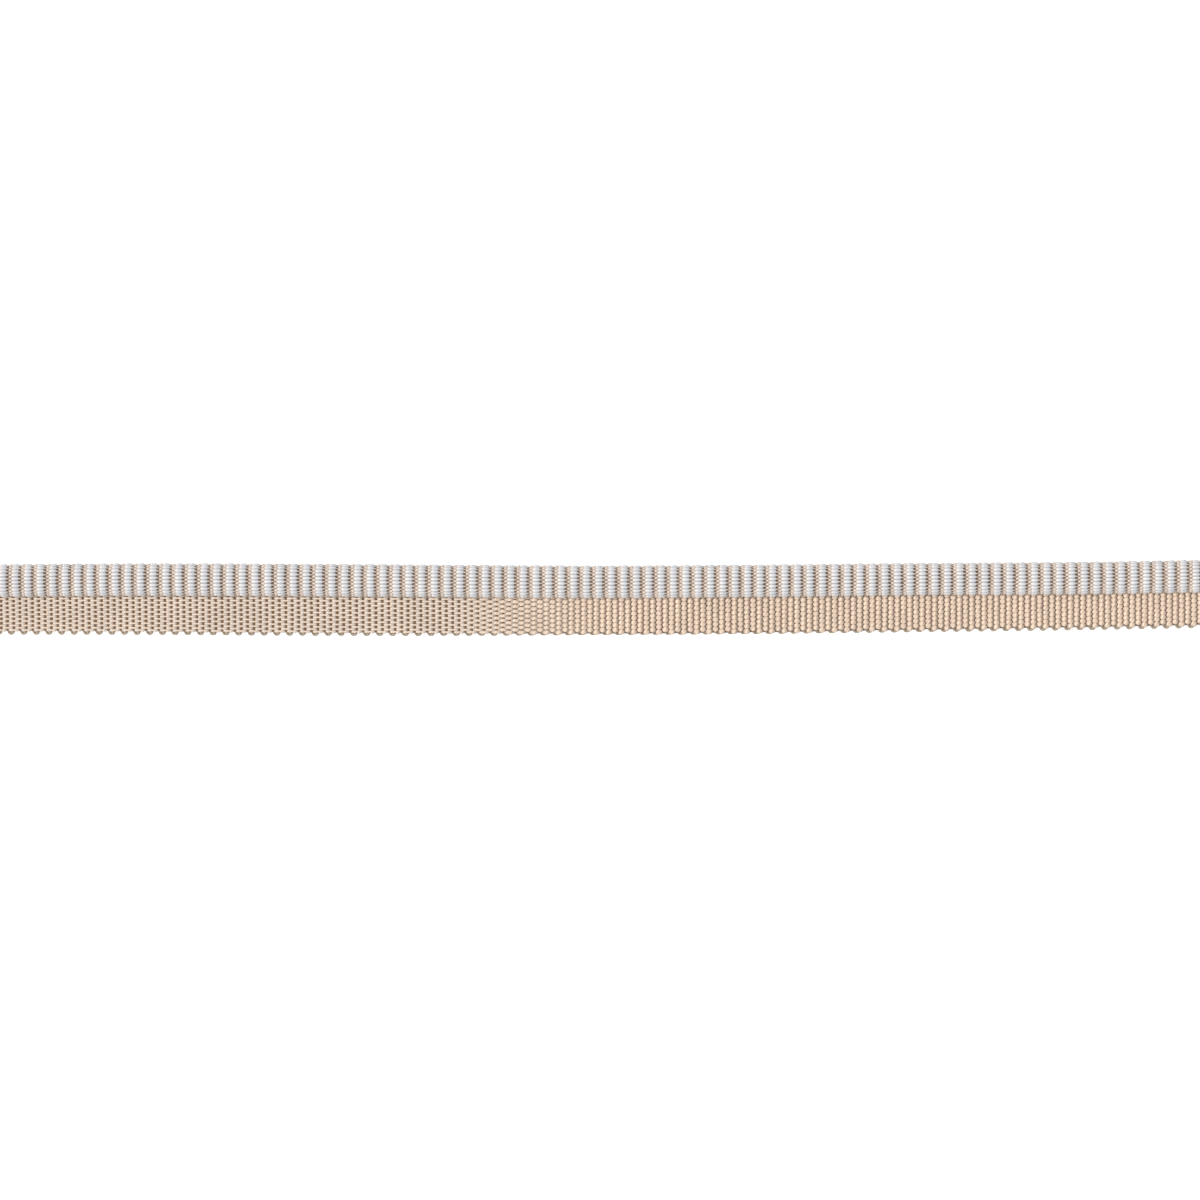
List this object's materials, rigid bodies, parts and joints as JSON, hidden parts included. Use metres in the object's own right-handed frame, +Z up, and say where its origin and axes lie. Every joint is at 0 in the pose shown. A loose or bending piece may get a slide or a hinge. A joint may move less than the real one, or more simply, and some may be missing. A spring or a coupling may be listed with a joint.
{
  "type": "lipped cord trim",
  "caption": "Cut length of woven piping trim: a round cord with silvery and beige bands and a flat ribbed beige lip with a looped free edge.",
  "frame": {"origin": "middle of the trim's length and width, on the plane that it lies on", "axes": "+X along the length, +Y from the lip's looped edge towards the cord, +Z up out of the plane that it lies on"},
  "size_m": [0.2116, 0.0128, 0.0053],
  "materials": {
    "cord_weave": "woven, silky",
    "lip_weave": "woven, ribbed, matt"
  },
  "bodies": {
    "root": {"cord": "cord_weave", "lip": "lip_weave"}
  },
  "joints": []
}
